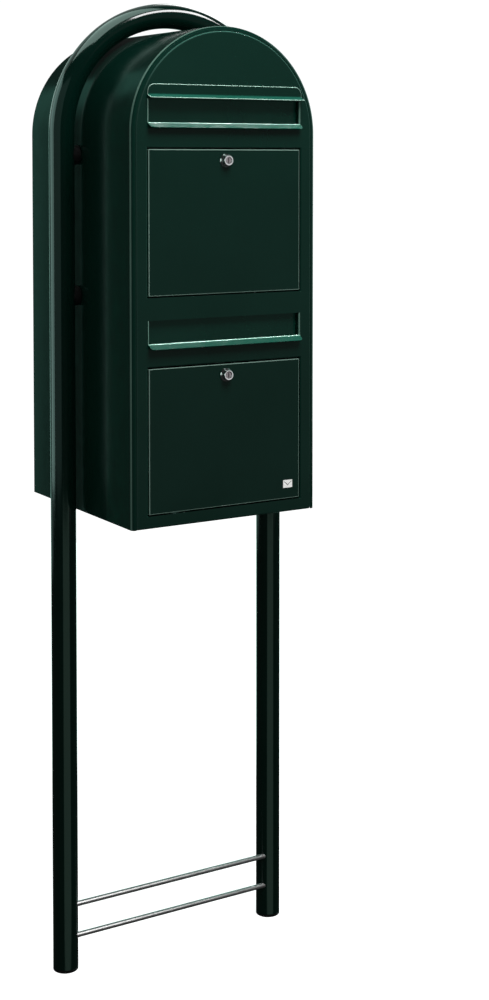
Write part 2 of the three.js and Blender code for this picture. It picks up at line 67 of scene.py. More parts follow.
# Turned profiles and shading
LONGEST_ROUNDING = 0.45
SHARP_ANGLE = math.radians(30)

# Places of a sheet's materials: its paint, its edge colour, which is a painted highlight, and the seam
# colour round the front, a dimmer painted highlight
PAINT, EDGE_HIGHLIGHT, SEAM_HIGHLIGHT = 0, 1, 2

# Front rim of the wrap. A painted highlight in the edge colour covers a band of it, in fractions of its
# radius.
RIM_RADIUS = 6 * MM
RIM_WIDTH = 7 * MM
RIM_STEPS = 8
RIM_HIGHLIGHT_BAND = (0.40, 0.98)

# Door and slot openings
DOOR_GAP = 2 * MM
DOOR_FOLD = 1.1 * MM
JAMB_DEPTH = 16 * MM
SLOT_HALF = 127 * MM
SLOT_HEIGHT = 33.5 * MM
SLOT_JAMB = 18 * MM
SLOT_EAR_SETBACK = 2 * MM
SLOT_EAR_RISE = 13 * MM

# Lips and the rain visor
LIP_REACH = 12.2 * MM
LIP_SLOPE = math.radians(35)
LIP_CORNER = 5 * MM
LIP_LIFT = 0.05 * MM
VISOR_SLOPE = math.radians(20)
VISOR_FLAT = 15.3 * MM
VISOR_CORNER = 11 * MM
VISOR_TIP = 3 * MM

# Back panel, bottom plate and shelf
WALL_HOLE_X = 100 * MM
WALL_HOLE_HEIGHTS = (768 * MM, 1328 * MM)
WALL_HOLE_RADIUS = 4 * MM
WALL_HOLE_DEPTH = 5 * MM
PLATE_CLEARANCE = 2 * MM
SHELF_NOTCH = 15 * MM
SHELF_NOTCH_DEPTH = 12 * MM

# Flaps, their rods and the hinge pins
FLAP_OVERLAP = 4 * MM
FLAP_SETBACK = 8.5 * MM
KNUCKLE_RADIUS = 4 * MM
KNUCKLE_END = -0.35 * math.pi
KNUCKLE_STEPS = 22
ROD_RADIUS = 2 * MM
ROD_HEAD = 1.6 * MM
PIN_RADIUS = 2.5 * MM
PIN_HEAD_RADIUS = 3.9 * MM
PIN_HEAD = 1.6 * MM
PIN_COLLAR_RADIUS = 4.2 * MM
PIN_COLLAR = 2 * MM

# Locks
MOUTH_RADIUS = 4.5 * MM
MOUTH_DEPTH = 0.9 * MM
BORE_RADIUS = 5.7 * MM
NOSE_RADIUS = 7.8 * MM
BARREL_RADIUS = 8 * MM
PLUG_SETBACK = 1.5 * MM
PLUG_TAIL = 3 * MM
PLUG_TAIL_RADIUS = 3.5 * MM
KEYWAY = (1.5 * MM, 9 * MM, 7.4 * MM)

# Stand
TUBE_WALL = 2 * MM
TUBE_EDGE = 0.4 * MM
TUBE_SEGMENTS = 64
LEG_STEPS = 12
CAP_FLANGE = 4 * MM
CAP_DISH = 0.6 * MM
CAP_PLUG_INSET = 2.3 * MM
CAP_PLUG_END = 20 * MM
SPACER_BORE = 4.4 * MM
SPACER_SEGMENTS = 64

# Driving places, read from the frame
wrap_low, wrap_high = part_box("body_wrap")
_, panel_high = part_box("front_panel")
back_low, back_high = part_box("back_panel")
tube_low, tube_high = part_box("stand_tube")
BOX_R = wrap_high.x
FACE_Y = wrap_low.y
BACK_Y = wrap_high.y
BOTTOM = wrap_low.z
ARCH_Z = wrap_high.z - BOX_R
PANEL_R = panel_high.x
TUBE_R = (tube_high.y - tube_low.y) / 2
LEG_X = tube_high.x - TUBE_R
LEG_FOOT = tube_low.z
joints = {joint["name"]: joint for joint in frame["joints"]}


# ---------------------------------------------------------------- geometry helpers

def finish_mesh(mesh):
    """Smooth shading, with sharp edges where faces meet at a steep angle."""
    for polygon in mesh.polygons:
        polygon.use_smooth = True
    mesh.set_sharp_from_angle(angle=SHARP_ANGLE)


def mesh_from(name, points, faces):
    """A mesh with coinciding points welded and all faces turned outwards."""
    mesh = bpy.data.meshes.new(name)
    mesh.from_pydata([tuple(p) for p in points], [], faces)
    bm = bmesh.new()
    bm.from_mesh(mesh)
    bmesh.ops.remove_doubles(bm, verts=bm.verts, dist=1e-7)
    bmesh.ops.recalc_face_normals(bm, faces=bm.faces)
    bm.to_mesh(mesh)
    bm.free()
    return mesh


def loft(name, rings, capped=True):
    """Skins closed rings of equal length, one after another, and caps both ends."""
    count = len(rings[0])
    points = [p for ring in rings for p in ring]
    faces = []
    for i in range(len(rings) - 1):
        for j in range(count):
            k = (j + 1) % count
            faces.append((i * count + j, i * count + k, (i + 1) * count + k, (i + 1) * count + j))
    if capped:
        faces.append(tuple(range(count - 1, -1, -1)))
        faces.append(tuple((len(rings) - 1) * count + j for j in range(count)))
    return mesh_from(name, points, faces)


def ring_round(centre, axis, radius, segments):
    """A circle of points round an axis."""
    side = axis.orthogonal().normalized()
    other = axis.cross(side)
    turn = 2 * math.pi / segments
    return [centre + radius * (math.cos(turn * i) * side + math.sin(turn * i) * other)
            for i in range(segments)]


def turned(name, origin, axis, profile, segments=64):
    """A turned piece. The profile lists (radius, distance along the axis); a radius of 0 closes it."""
    points, faces, rings = [], [], []
    for radius, along in profile:
        centre = origin + axis * along
        start = len(points)
        if radius == 0:
            points.append(centre)
            rings.append([start] * segments)
        else:
            points.extend(ring_round(centre, axis, radius, segments))
            rings.append(list(range(start, start + segments)))
    for lower, upper in zip(rings, rings[1:]):
        for j in range(segments):
            k = (j + 1) % segments
            face = [lower[j], lower[k], upper[k], upper[j]]
            face = [v for i, v in enumerate(face) if v != face[i - 1]]
            if len(face) > 2:
                faces.append(tuple(face))
    return mesh_from(name, points, faces)


def rounded_profile(corners, radius, steps=4):
    """Rounds the inner corners of an open profile, never over more than LONGEST_ROUNDING of a side."""
    out = [corners[0]]
    for before, corner, after in zip(corners, corners[1:], corners[2:]):
        a, b, c = Vector(before), Vector(corner), Vector(after)
        reach = min(radius, (a - b).length * LONGEST_ROUNDING, (c - b).length * LONGEST_ROUNDING)
        start = b + (a - b).normalized() * reach
        end = b + (c - b).normalized() * reach
        for i in range(steps + 1):
            t = i / steps
            p = start * (1 - t) ** 2 + b * 2 * t * (1 - t) + end * t ** 2
            out.append((p.x, p.y))
    out.append(corners[-1])
    return out


def thicken(obj, even=False):
    """Gives a folded sheet its thickness, inwards from its outer side."""
    solid = obj.modifiers.new("thickness", "SOLIDIFY")
    solid.thickness = SHEET
    solid.offset = -1
    solid.use_even_offset = even


def add_modifiers(obj, edge=RAW_EDGE, edge_angle=50, highlight_material=-1):
    """Breaks the raw edges of a piece, can give the broken edges a painted highlight by material, and
    evens its shading.
    """
    if edge:
        bevel = obj.modifiers.new("edges", "BEVEL")
        bevel.width = edge
        bevel.segments = 2
        bevel.limit_method = "ANGLE"
        bevel.material = highlight_material
        bevel.angle_limit = math.radians(edge_angle)
    weighted = obj.modifiers.new("normals", "WEIGHTED_NORMAL")
    weighted.keep_sharp = True


def fold_group(polygons, front, fold, segments):
    """One sheet folded from flat polygons that share edges, its folds rounded and given the edge colour,
    a painted highlight.
    """
    bm = bmesh.new()
    known = {}

    def vertex(p):
        """The one vertex at p, so that polygons share it."""
        key = tuple(round(c / WELD) for c in p)
        if key not in known:
            known[key] = bm.verts.new(p)
        return known[key]

    for polygon in polygons:
        bm.faces.new([vertex(p) for p in polygon])
    bmesh.ops.recalc_face_normals(bm, faces=bm.faces)
    bm.faces.ensure_lookup_table()
    bm.normal_update()
    if bm.faces[0].normal.dot(Vector(front)) < 0:
        bmesh.ops.reverse_faces(bm, faces=bm.faces)
    folds = [e for e in bm.edges if len(e.link_faces) == 2 and e.calc_face_angle() > FOLD_ANGLE]
    bmesh.ops.bevel(bm, geom=folds, offset=fold, offset_type="OFFSET", segments=segments,
                    profile=0.5, affect="EDGES", clamp_overlap=True, material=EDGE_HIGHLIGHT)
    return bm


def folded_sheet(name, groups, fold=FOLD, segments=5):
    """A mesh of folded sheets. Each group is (polygons, outer side of its first polygon)."""
    mesh = bpy.data.meshes.new(name)
    whole = bmesh.new()
    for polygons, front in groups:
        part = fold_group(polygons, front, fold, segments)
        part.to_mesh(mesh)
        part.free()
        whole.from_mesh(mesh)
    whole.to_mesh(mesh)
    whole.free()
    return mesh


def as_object(name, mesh):
    """Puts a mesh into the scene as an object."""
    finish_mesh(mesh)
    obj = bpy.data.objects.new(name, mesh)
    bpy.context.scene.collection.objects.link(obj)
    return obj


def refined(name, node, edge):
    """A copy of a CAD node with its flat faces merged and its edges rounded."""
    mesh = frame["nodes"][node].data.copy()
    mesh.name = name
    bm = bmesh.new()
    bm.from_mesh(mesh)
    bmesh.ops.remove_doubles(bm, verts=bm.verts, dist=1e-6)
    bmesh.ops.dissolve_limit(bm, angle_limit=math.radians(1), verts=bm.verts, edges=bm.edges)
    bm.to_mesh(mesh)
    bm.free()
    mesh.materials.clear()
    obj = as_object(name, mesh)
    add_modifiers(obj, edge=edge, edge_angle=40)
    return obj


def fit_out(obj, body, nodes, slot, *materials):
    """Paints a piece, makes it ride on its body and lets it stand for its CAD nodes."""
    for material in materials:
        obj.data.materials.append(material)
    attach(obj, body)
    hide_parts(*nodes)


# ---------------------------------------------------------------- materials

def new_material(name):
    """A material with nothing but its shader."""
    material = bpy.data.materials.new(name)
    material.use_nodes = True
    tree = material.node_tree
    tree.nodes.clear()
    shader = tree.nodes.new("ShaderNodeBsdfPrincipled")
    output = tree.nodes.new("ShaderNodeOutputMaterial")
    tree.links.new(shader.outputs["BSDF"], output.inputs["Surface"])
    return material, tree, shader


def noise(tree, scale, detail=2.0, stretch=(1, 1, 1)):
    """A noise pattern in the object's own metres, scale cycles to the metre."""
    place = tree.nodes.new("ShaderNodeTexCoord")
    mapping = tree.nodes.new("ShaderNodeMapping")
    mapping.inputs["Scale"].default_value = stretch
    texture = tree.nodes.new("ShaderNodeTexNoise")
    texture.inputs["Scale"].default_value = scale
    texture.inputs["Detail"].default_value = detail
    tree.links.new(place.outputs["Object"], mapping.inputs["Vector"])
    tree.links.new(mapping.outputs["Vector"], texture.inputs["Vector"])
    return texture.outputs["Fac"]


# Nearly all of a noise pattern lies between these two values
NOISE_LOW = 0.3
NOISE_HIGH = 0.7


def ramp(tree, factor, low, high):
    """Maps a noise pattern to a value between low and high."""
    node = tree.nodes.new("ShaderNodeMapRange")
    node.inputs["From Min"].default_value = NOISE_LOW
    node.inputs["From Max"].default_value = NOISE_HIGH
    node.inputs["To Min"].default_value = low
    node.inputs["To Max"].default_value = high
    tree.links.new(factor, node.inputs["Value"])
    return node.outputs["Result"]


def colour_between(tree, factor, dark, light):
    """Maps a noise pattern to a colour between dark and light."""
    node = tree.nodes.new("ShaderNodeValToRGB")
    node.color_ramp.elements[0].position = NOISE_LOW
    node.color_ramp.elements[0].color = (*dark, 1)
    node.color_ramp.elements[1].position = NOISE_HIGH
    node.color_ramp.elements[1].color = (*light, 1)
    tree.links.new(factor, node.inputs["Fac"])
    return node.outputs["Color"]


def bump(tree, shader, heights):
    """Stacks bumps: heights lists (factor, strength, distance)."""
    last = None
    for factor, strength, distance in heights:
        node = tree.nodes.new("ShaderNodeBump")
        node.inputs["Strength"].default_value = strength
        node.inputs["Distance"].default_value = distance
        tree.links.new(factor, node.inputs["Height"])
        if last is not None:
            tree.links.new(last, node.inputs["Normal"])
        last = node.outputs["Normal"]
    tree.links.new(last, shader.inputs["Normal"])


def powder_coat(name, dark, light, roughness=(0.13, 0.20)):
    """Baked paint with a faint orange peel, fine grain and slow drifts of tone and gloss."""
    material, tree, shader = new_material(name)
    tree.links.new(colour_between(tree, noise(tree, 7, 4), dark, light), shader.inputs["Base Color"])
    tree.links.new(ramp(tree, noise(tree, 45, 5), *roughness), shader.inputs["Roughness"])
    shader.inputs["IOR"].default_value = 1.5
    bump(tree, shader, [
        (noise(tree, 420, 1), 0.10, 0.15 * MM),
        (noise(tree, 1900, 2), 0.12, 0.04 * MM),
    ])
    return material


def metal(name, dark, light, roughness, stretch, grain, bump_strength):
    """Bright metal with fine machining lines along one direction."""
    material, tree, shader = new_material(name)
    shader.inputs["Metallic"].default_value = 1.0
    lines = noise(tree, grain, 3, stretch)
    tree.links.new(colour_between(tree, noise(tree, 60, 3), dark, light), shader.inputs["Base Color"])
    tree.links.new(ramp(tree, lines, *roughness), shader.inputs["Roughness"])
    bump(tree, shader, [(lines, bump_strength, 0.02 * MM)])
    return material


def moulded(name, dark, light, roughness, grain):
    """Moulded plastic or printed film with a fine sparkle-free grain."""
    material, tree, shader = new_material(name)
    tree.links.new(colour_between(tree, noise(tree, 80, 4), dark, light), shader.inputs["Base Color"])
    tree.links.new(ramp(tree, noise(tree, 300, 3), *roughness), shader.inputs["Roughness"])
    bump(tree, shader, [(noise(tree, grain, 3), 0.25, 0.05 * MM)])
    return material


body_paint = powder_coat("body_paint", (0.0022, 0.0225, 0.0150), (0.0032, 0.0265, 0.0182))
# The edge colour: a light teal that is a painted highlight on folds and broken edges
body_edge_highlight = powder_coat("body_paint_edge", (0.090, 0.180, 0.145), (0.130, 0.240, 0.195))
# The seam colour, between paint and edge colour: a dimmer painted highlight round the front's outline
seam_highlight = powder_coat("body_paint_seam", (0.010, 0.036, 0.027), (0.016, 0.046, 0.036))
door_paint = powder_coat("door_paint", (0.0022, 0.0212, 0.0142), (0.0032, 0.0250, 0.0172))
# The door's edge colour: a painted highlight on the door folds and the visor's raw edges
door_edge_highlight = powder_coat("door_paint_edge", (0.190, 0.300, 0.255), (0.260, 0.390, 0.335))
# The stand's green is the box's green made darker and glossier; the darkening is painted shade for the
# dim light on the legs
tube_paint = powder_coat("tube_paint", (0.0005, 0.0095, 0.0064), (0.0009, 0.0120, 0.0082), (0.08, 0.13))
chrome = metal("lock_chrome", (0.72, 0.72, 0.74), (0.82, 0.82, 0.84), (0.12, 0.20), (1, 6, 1), 900, 0.15)
plug_metal = metal("lock_plug_nickel", (0.30, 0.27, 0.28), (0.42, 0.38, 0.40), (0.30, 0.42),
                   (1, 6, 1), 900, 0.2)
zinc = metal("zinc_plating", (0.46, 0.46, 0.45), (0.58, 0.57, 0.54), (0.28, 0.42), (1, 1, 1), 700, 0.2)
drawn_steel = metal("drawn_steel", (0.62, 0.62, 0.62), (0.74, 0.74, 0.74), (0.34, 0.48),
                    (0.05, 1, 1), 2500, 0.3)
black_plastic = moulded("black_plastic", (0.006, 0.006, 0.006), (0.012, 0.012, 0.012), (0.28, 0.38), 2500)
white_film = moulded("white_film", (0.80, 0.80, 0.78), (0.90, 0.90, 0.88), (0.40, 0.50), 3000)


# ---------------------------------------------------------------- the box's sheets

def arch_stations(bottom):
    """Points round the box's outline, each with its outward normal, from the left foot to the right."""
    stations = [(Vector((-BOX_R, 0, bottom)), Vector((-1, 0, 0)))]
    for i in range(ARC_STEPS + 1):
        angle = math.pi * (1 - i / ARC_STEPS)
        normal = Vector((math.cos(angle), 0, math.sin(angle)))
        stations.append((Vector((0, 0, ARCH_Z)) + BOX_R * normal, normal))
    stations.append((Vector((BOX_R, 0, bottom)), Vector((1, 0, 0))))
    return stations


def rim_section():
    """The wrap's section as (offset along the outward normal, y): flat sheet, then the rolled rim."""
    edge = RAW_EDGE
    section = [(-edge, BACK_Y), (0, BACK_Y - edge)]
    for i in range(RIM_STEPS + 1):
        angle = math.pi / 2 * i / RIM_STEPS
        section.append((RIM_RADIUS * (math.cos(angle) - 1), FACE_Y + RIM_RADIUS * (1 - math.sin(angle))))
    section += [(edge - RIM_WIDTH, FACE_Y), (-RIM_WIDTH, FACE_Y + edge),
                (-RIM_WIDTH, FACE_Y + SHEET - edge), (edge - RIM_WIDTH, FACE_Y + SHEET)]
    inner = RIM_RADIUS - SHEET
    for i in range(RIM_STEPS + 1):
        angle = math.pi / 2 * (1 - i / RIM_STEPS)
        section.append((-RIM_RADIUS + inner * math.cos(angle),
                        FACE_Y + RIM_RADIUS - inner * math.sin(angle)))
    section += [(-SHEET, BACK_Y - edge), (edge - SHEET, BACK_Y)]
    return section


def body_wrap():
    """Side and arch sheet in one length, its front edge rolled inwards."""
    section = rim_section()
    rings = [[p + n * offset + Vector((0, y, 0)) for offset, y in section]
             for p, n in arch_stations(BOTTOM)]
    mesh = loft("wrap_sheet", rings)
    # This band of the rolled rim is given the edge colour, a painted highlight
    highlight_start, highlight_end = (FACE_Y + share * RIM_RADIUS for share in RIM_HIGHLIGHT_BAND)
    for polygon in mesh.polygons:
        middle = sum((mesh.vertices[v].co.y for v in polygon.vertices), 0.0) / len(polygon.vertices)
        polygon.material_index = EDGE_HIGHLIGHT if highlight_start < middle < highlight_end else PAINT
    obj = as_object("wrap_sheet", mesh)
    add_modifiers(obj, edge=0)
    fit_out(obj, "frame", ["body_wrap"], "green_paint", body_paint, body_edge_highlight)


def right_outline(radius, bottom, levels):
    """(x, z) points up the right side and round to the crown, with a point at each of the levels."""
    points = [(radius, z) for z in sorted({bottom, ARCH_Z, *levels}) if z <= ARCH_Z]
    angles = {i * math.pi / ARC_STEPS for i in range(1, ARC_STEPS // 2)}
    angles |= {math.asin((z - ARCH_Z) / radius) for z in levels if z > ARCH_Z}
    points += [(radius * math.cos(a), ARCH_Z + radius * math.sin(a)) for a in sorted(angles)]
    return points + [(0.0, ARCH_Z + radius)]


def flat_bands(outline, openings, y):
    """Flat polygons that fill the outline around the openings, which are (half width, low, high)."""
    bottom, crown = outline[0][1], outline[-1][1]
    edges = {bottom: None, crown: None}
    for half, low, high in openings:
        edges[low] = half
        edges[high] = half
    levels = sorted(edges)
    polygons = []
    for low, high in zip(levels, levels[1:]):
        side = [p for p in outline if low - LEVEL_TOLERANCE <= p[1] <= high + LEVEL_TOLERANCE]
        hole = [half for half, a, b in openings
                if abs(a - low) < LEVEL_TOLERANCE and abs(b - high) < LEVEL_TOLERANCE]
        if hole:
            column = [(hole[0], low)] + side + [(hole[0], high)]
            polygons.append([(x, y, z) for x, z in column])
            polygons.append([(-x, y, z) for x, z in column])
            continue
        right = ([(edges[low], low)] if edges[low] else []) + side
        right += [(edges[high], high)] if edges[high] else []
        left = [(-x, z) for x, z in reversed(right) if x > 0]
        polygons.append([(x, y, z) for x, z in right + left])
    return polygons


def flange_round(outline, y, depth):
    """Strips folded back from the outline on all sides."""
    loop = outline + [(-x, z) for x, z in reversed(outline[:-1])]
    return [[(a[0], y, a[1]), (b[0], y, b[1]), (b[0], y + depth, b[1]), (a[0], y + depth, a[1])]
            for a, b in zip(loop, loop[1:] + loop[:1])]


def lip_polygon(half, y, z, reach, slope, corner, steps=6):
    """A lip that leaves the sheet at y, z and slopes outwards and down, its tips rounded."""
    flat = [(-half, 0.0)]
    for centre, start in ((corner - half, math.pi), (half - corner, 1.5 * math.pi)):
        for i in range(steps + 1):
            angle = start + math.pi / 2 * i / steps
            flat.append((centre + corner * math.cos(angle), reach - corner - corner * math.sin(angle)))
    flat.append((half, 0.0))
    return [(x, y - s * math.cos(slope), z - s * math.sin(slope)) for x, s in flat]


def lip_group(half, y, z, reach, corner):
    """A lip with the short root that it is folded from, which lies in the sheet's own thickness."""
    root = [(-half, y, z), (half, y, z), (half, y + SHEET, z), (-half, y + SHEET, z)]
    return [root, lip_polygon(half, y, z, reach, LIP_SLOPE, corner)], (0, 0, 1)


def slot_bottom(level):
    """Height of a slot's lower edge, which its flap overlaps."""
    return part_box(f"{level}_flap")[0].z + FLAP_OVERLAP


def front_panel():
    """The pressed front: openings with folded jambs, a lip under each slot and a flange all round."""
    openings, doorways, folds, lips = [], [], [], []
    back = FACE_Y + JAMB_DEPTH
    for level in ("lower", "upper"):
        low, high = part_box(f"{level}_door")
        half, bottom, top = high.x + DOOR_GAP, low.z - DOOR_GAP, high.z + DOOR_GAP
        openings.append((half, bottom, top))
        doorways.append((bottom - FOLD, top + FOLD))
        for x in (-half, half):
            folds.append([(x, FACE_Y, bottom), (x, FACE_Y, top), (x, back, top), (x, back, bottom)])
        folds.append([(-half, FACE_Y, top), (half, FACE_Y, top), (half, back, top), (-half, back, top)])
        bottom = slot_bottom(level)
        top = bottom + SLOT_HEIGHT
        openings.append((SLOT_HALF, bottom, top))
        ear_front = FACE_Y + SLOT_EAR_SETBACK + SHEET
        ear_back = FACE_Y + SLOT_JAMB
        ear_top = top + SLOT_EAR_RISE
        for x in (-SLOT_HALF, SLOT_HALF):
            folds.append([(x, FACE_Y, bottom), (x, FACE_Y, top), (x, ear_front, top),
                          (x, ear_front, ear_top), (x, ear_back, ear_top), (x, ear_back, bottom)])
        lips.append(lip_group(SLOT_HALF + SHEET, FACE_Y, bottom + LIP_LIFT, LIP_REACH, LIP_CORNER))
    levels = [z for _, low, high in openings for z in (low, high)]
    outline = right_outline(PANEL_R, BOTTOM, levels)
    sheet = flat_bands(outline, openings, FACE_Y) + flange_round(outline, FACE_Y, FLANGE) + folds
    mesh = folded_sheet("front_sheet", [(sheet, (0, -1, 0)), *lips])
    # Folds round the outline take the seam colour, a dimmer painted highlight; folds behind the doors and
    # along the foot keep plain paint; the other folds and the broken raw edges keep the edge colour's
    # painted highlight
    for polygon in mesh.polygons:
        across, up = abs(polygon.center.x), polygon.center.z
        if polygon.material_index == EDGE_HIGHLIGHT and math.hypot(across, max(0, up - ARCH_Z)) > PANEL_R - FOLD:
            polygon.material_index = SEAM_HIGHLIGHT
        elif any(low < up < high for low, high in doorways) or up < BOTTOM + FOLD:
            polygon.material_index = PAINT
    obj = as_object("front_sheet", mesh)
    thicken(obj)
    add_modifiers(obj, highlight_material=EDGE_HIGHLIGHT)
    fit_out(obj, "frame", ["front_panel"], "green_paint", body_paint, body_edge_highlight, seam_highlight)


def rain_visor():
    """The strip above the upper slot, its lower edge folded out, its raw edges given a painted highlight.
    """
    low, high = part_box("rain_visor")
    half = high.x
    front = FACE_Y - FIT - SHEET
    corner = VISOR_CORNER
    fold_z = high.z - VISOR_FLAT
    flat = [(-half, fold_z), (half, fold_z)]
    steps = 8
    for centre, start in ((half - corner, 0), (corner - half, math.pi / 2)):
        for i in range(steps + 1):
            angle = start + math.pi / 2 * i / steps
            flat.append((centre + corner * math.cos(angle), high.z - corner + corner * math.sin(angle)))
    reach = (front - low.y) / math.cos(VISOR_SLOPE)
    polygons = [
        [(x, front, z) for x, z in flat],
        lip_polygon(half, front, fold_z, reach, VISOR_SLOPE, VISOR_TIP),
    ]
    mesh = folded_sheet("visor_sheet", [(polygons, (0, -1, 0))])
    for polygon in mesh.polygons:
        polygon.material_index = PAINT
    obj = as_object("visor_sheet", mesh)
    thicken(obj)
    add_modifiers(obj, edge=0.5 * MM, highlight_material=EDGE_HIGHLIGHT)
    fit_out(obj, "frame", ["rain_visor"], "green_paint", body_paint, door_edge_highlight)


def subtract(obj, tools):
    """Cuts the tools out of a piece, keeps the result as its mesh and removes the tools."""
    for tool in tools:
        boolean = obj.modifiers.new(tool.name, "BOOLEAN")
        boolean.object = tool
        boolean.operation = "DIFFERENCE"
        boolean.solver = "EXACT"
    graph = bpy.context.evaluated_depsgraph_get()
    mesh = bpy.data.meshes.new_from_object(obj.evaluated_get(graph), depsgraph=graph)
    obj.modifiers.clear()
    obj.data = mesh
    for tool in tools:
        bpy.data.objects.remove(tool)
    finish_mesh(mesh)


def wall_drill(n, x, z):
    """A rod that cuts one wall hole through the back."""
    start = Vector((x, BACK_Y - WALL_HOLE_DEPTH, z))
    length = 2 * WALL_HOLE_DEPTH
    profile = [(0, 0), (WALL_HOLE_RADIUS, 0), (WALL_HOLE_RADIUS, length), (0, length)]
    return as_object(f"hole_{n}", turned(f"hole_{n}", start, INWARDS, profile, segments=32))


def back_panel():
    """The flanged back with its four wall holes."""
    outline = right_outline(back_high.x, back_low.z, [])
    polygons = flat_bands(outline, [], BACK_Y) + flange_round(outline, BACK_Y, -FLANGE)
    obj = as_object("back_sheet", folded_sheet("back_sheet", [(polygons, (0, 1, 0))]))
    thicken(obj, even=True)
    places = [(x, z) for x in (-WALL_HOLE_X, WALL_HOLE_X) for z in WALL_HOLE_HEIGHTS]
    subtract(obj, [wall_drill(n, x, z) for n, (x, z) in enumerate(places)])
    add_modifiers(obj)
    # Its folds carry the edge colour, a painted highlight
    fit_out(obj, "frame", ["back_panel"], "green_paint", body_paint, body_edge_highlight)


def floor_tray(name, node, folds_up, notch=0.0):
    """A level sheet with both sides folded. A notched one is folded along its front as well."""
    low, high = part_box(node)
    half, front, back = high.x, low.y, high.y
    level, edge = (low.z, high.z) if folds_up else (high.z, low.z)
    if notch:
        inner = half - SHELF_NOTCH_DEPTH
        right = [(half, front), (half, -notch), (inner, -notch),
                 (inner, notch), (half, notch), (half, back)]
        spans = [(front, -notch), (notch, back)]
    else:
        fold_end = back - FLANGE - PLATE_CLEARANCE
        right = [(half, front), (half, fold_end), (half, back)]
        spans = [(front, fold_end)]
    left = [(-x, y) for x, y in reversed(right)]
    polygons = [[(x, y, level) for x, y in right + left]]
    for x in (-half, half):
        for a, b in spans:
            polygons.append([(x, a, level), (x, b, level), (x, b, edge), (x, a, edge)])
    if notch:
        polygons.append([(-half, front, level), (half, front, level),
                         (half, front, edge), (-half, front, edge)])
    outer = (0, 0, -1) if folds_up else (0, 0, 1)
    obj = as_object(name, folded_sheet(name, [(polygons, outer)]))
    thicken(obj)
    add_modifiers(obj)
    # Its folds carry the edge colour, a painted highlight
    fit_out(obj, "frame", [node], "green_paint", body_paint, body_edge_highlight)


# ---------------------------------------------------------------- doors, flaps and locks

def door(level):
    """A shallow tray with a flange all round."""
    low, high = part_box(f"{level}_door")
    x, bottom, top, back = high.x, low.z, high.z, high.y
    polygons = [[(-x, FACE_Y, bottom), (x, FACE_Y, bottom), (x, FACE_Y, top), (-x, FACE_Y, top)]]
    corners = [(-x, bottom), (x, bottom), (x, top), (-x, top)]
    for a, b in zip(corners, corners[1:] + corners[:1]):
        polygons.append([(a[0], FACE_Y, a[1]), (b[0], FACE_Y, b[1]),
                         (b[0], back, b[1]), (a[0], back, a[1])])
    name = f"{level}_door_sheet"
    # Its rounded folds take the door's edge colour, a painted highlight
    obj = as_object(name, folded_sheet(name, [(polygons, (0, -1, 0))], DOOR_FOLD))
    thicken(obj)
    add_modifiers(obj)
    fit_out(obj, f"{level}_door", [f"{level}_door"], "door_paint", door_paint, door_edge_highlight)


def curl(centre, radius, offset):
    """Points round a knuckle, from where the plate runs into it, over the top, to its tail."""
    start = math.pi + math.acos(offset / radius)
    turn = (KNUCKLE_END - start) / KNUCKLE_STEPS
    angles = [start + turn * i for i in range(KNUCKLE_STEPS + 1)]
    return [centre + radius * Vector((0, math.cos(a), math.sin(a))) for a in angles]


def flap(level):
    """A plate whose upper edge is rolled round its rod."""
    low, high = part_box(f"{level}_flap")
    pivot = Vector(joints[f"{level}_flap_hinge"]["pos_m"])
    centre = Vector((0, pivot.y, pivot.z))
    front = FACE_Y + FLAP_SETBACK
    back = front + SHEET
    reach = pivot.y - front
    section = [Vector((0, front, low.z + RAW_EDGE))]
    section += curl(centre, KNUCKLE_RADIUS, reach)
    section += reversed(curl(centre, KNUCKLE_RADIUS - SHEET, reach - SHEET))
    section += [Vector((0, back, low.z + RAW_EDGE)), Vector((0, back - RAW_EDGE, low.z)),
                Vector((0, front + RAW_EDGE, low.z))]
    rings = [[p + Vector((x, 0, 0)) for p in section] for x in (low.x, high.x)]
    name = f"{level}_flap_sheet"
    obj = as_object(name, loft(name, rings))
    add_modifiers(obj, edge=0.2 * MM, edge_angle=60)
    fit_out(obj, f"{level}_flap", [f"{level}_flap"], "green_paint", body_paint, body_edge_highlight)


def flap_rod(level):
    """A rod with a low head at each end."""
    low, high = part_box(f"{level}_flap_rod")
    origin = Vector((low.x, (low.y + high.y) / 2, (low.z + high.z) / 2))
    length, head = high.x - low.x, (high.z - low.z) / 2
    profile = rounded_profile([
        (0, 0), (head, 0), (head, ROD_HEAD), (ROD_RADIUS, ROD_HEAD),
        (ROD_RADIUS, length - ROD_HEAD), (head, length - ROD_HEAD), (head, length), (0, length),
    ], radius=0.4 * MM)
    name = f"{level}_flap_axle"
    obj = as_object(name, turned(name, origin, ACROSS, profile, segments=32))
    fit_out(obj, "frame", [f"{level}_flap_rod"], "zinc_steel", zinc)


def hinge_pin(level, side):
    """A pin with a head at its inner end and a collar at its outer end."""
    node = f"{level}_{side}_hinge_pin"
    low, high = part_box(node)
    sign = -1 if side == "left" else 1
    inner = low.x if sign > 0 else high.x
    origin = Vector((inner, (low.y + high.y) / 2, (low.z + high.z) / 2))
    length = high.x - low.x
    collar = length - PIN_COLLAR
    profile = rounded_profile([
        (0, 0), (PIN_HEAD_RADIUS, 0), (PIN_HEAD_RADIUS, PIN_HEAD), (PIN_RADIUS, PIN_HEAD),
        (PIN_RADIUS, collar), (PIN_COLLAR_RADIUS, collar), (PIN_COLLAR_RADIUS, length), (0, length),
    ], radius=0.7 * MM)
    name = f"{level}_{side}_pin"
    obj = as_object(name, turned(name, origin, sign * ACROSS, profile, segments=32))
    fit_out(obj, "frame", [node], "zinc_steel", zinc)


